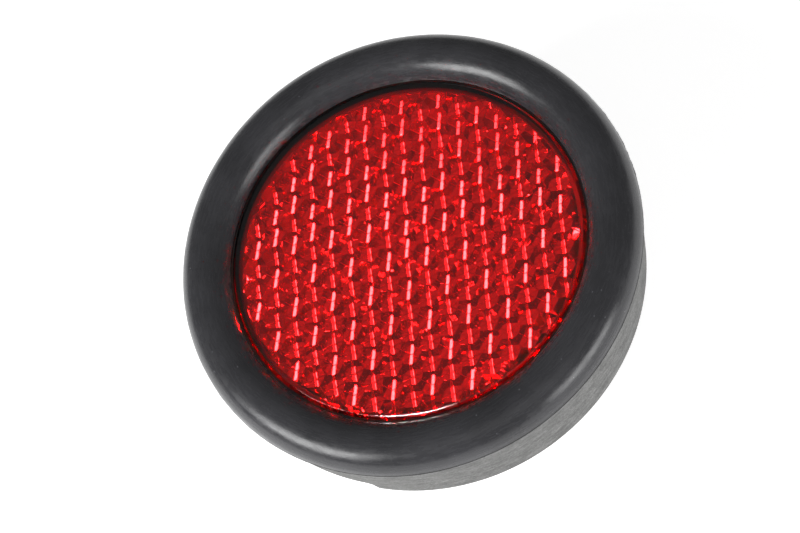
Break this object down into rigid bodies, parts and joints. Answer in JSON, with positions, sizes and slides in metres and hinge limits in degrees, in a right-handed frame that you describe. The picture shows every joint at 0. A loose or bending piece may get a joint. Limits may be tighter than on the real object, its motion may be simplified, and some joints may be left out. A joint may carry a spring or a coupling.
{
  "type": "bicycle rear reflector",
  "caption": "Round red prismatic lens gripped in a thick black rubber cup with a rolled lip, with an M5 stud at the back for fixing to a bracket.",
  "frame": {"origin": "centre of the rubber cup's flat back, on the stud's axis, where the bracket is clamped", "axes": "+Z is the way the lens faces, away from the bracket; +Y is the lens's twelve o'clock, along its columns of prism pins; the stud's free end points along -Z"},
  "size_m": [0.08, 0.08, 0.0351],
  "materials": {
    "black_rubber": "semi-gloss moulded lip, rough moulded wall",
    "red_lens": "polished transparent red",
    "grey_plastic": "satin moulded, mid grey",
    "zinc_plated_steel": "bright zinc plate"
  },
  "bodies": {
    "root": {"rubber_housing": "black_rubber", "reflector_lens": "red_lens", "lens_back_cover": "grey_plastic", "threaded_stud": "zinc_plated_steel", "spreader_plate": "zinc_plated_steel", "spring_washer": "zinc_plated_steel", "hex_nut": "zinc_plated_steel"}
  },
  "joints": []
}
